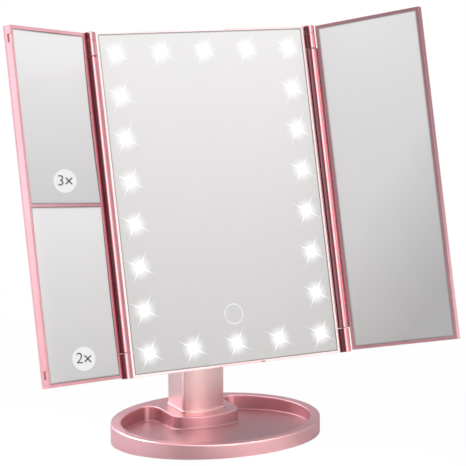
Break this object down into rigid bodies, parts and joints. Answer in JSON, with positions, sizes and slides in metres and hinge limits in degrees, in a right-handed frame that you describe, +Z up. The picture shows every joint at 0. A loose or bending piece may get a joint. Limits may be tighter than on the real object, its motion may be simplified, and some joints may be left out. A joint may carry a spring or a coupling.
{
  "type": "lighted folding makeup mirror",
  "caption": "Table makeup mirror: a lit centre panel that tilts on a column, two folding wing mirrors with magnifiers on one side, and an oval tray base.",
  "frame": {"origin": "middle of the underside of the foot pad, on the surface that the mirror stands on", "axes": "+Z up, +X to the right as seen from the front, +Y to the back; the centre panel faces -Y and leans back"},
  "size_m": [0.3014, 0.1609, 0.3017],
  "materials": {
    "rose_shell": "metallic rose gold paint, satin gloss",
    "mirror_glass": "silvered glass",
    "steel": "plated",
    "soft_pad": "matte foam rubber",
    "washer": "natural nylon",
    "lamp": "white lamp package",
    "circuit_board": "white lacquered board",
    "copper": "copper foil",
    "cell_jacket": "plain printed jacket"
  },
  "bodies": {
    "stand": {"base_tray": "rose_shell", "base_plate": "steel", "base_screws": "steel", "foot_pad": "soft_pad", "column": "rose_shell", "column_screws": "steel", "pivot_shaft": "steel", "friction_washers": "washer"},
    "head": {"front_frame": "rose_shell", "center_mirror": "mirror_glass", "lamps": "lamp", "lamp_board": "circuit_board", "touch_pad": "copper", "control_board": "circuit_board", "usb_socket": "steel", "back_cover": "rose_shell", "cover_screws": "steel", "batteries": "cell_jacket", "battery_contacts": "steel", "pivot_bracket": "rose_shell", "bracket_screws": "steel", "pivot_caps": "rose_shell", "left_hinge_pins": "steel", "right_hinge_pins": "steel", "hinge_caps": "rose_shell"},
    "door": {"battery_door": "rose_shell"},
    "left_wing": {"left_wing_frame": "rose_shell", "left_wing_back": "rose_shell", "left_upper_mirror": "mirror_glass", "left_lower_mirror": "mirror_glass", "left_wing_mirror_pads": "soft_pad"},
    "right_wing": {"right_wing_frame": "rose_shell", "right_wing_back": "rose_shell", "right_mirror": "mirror_glass", "right_wing_mirror_pads": "soft_pad"}
  },
  "joints": [
    {"name": "head_tilt", "type": "hinge", "parent": "stand", "child": "head", "pos_m": [0, 0.0305, 0.1633], "axis": [1, 0, 0], "range_deg": [-76.4, 13.5]},
    {"name": "left_wing_fold", "type": "hinge", "parent": "head", "child": "left_wing", "pos_m": [-0.086, -0.00703, 0.17234], "axis": [0, 0.2341, 0.9722], "range_deg": [-29.7, 150.3]},
    {"name": "right_wing_fold", "type": "hinge", "parent": "head", "child": "right_wing", "pos_m": [0.086, -0.00703, 0.17234], "axis": [0, 0.2341, 0.9722], "range_deg": [-124.4, 55.6]},
    {"name": "battery_door_slide", "type": "slide", "parent": "head", "child": "door", "axis": [0, 0.2341, 0.9722], "range_m": [0, 0.05]}
  ]
}
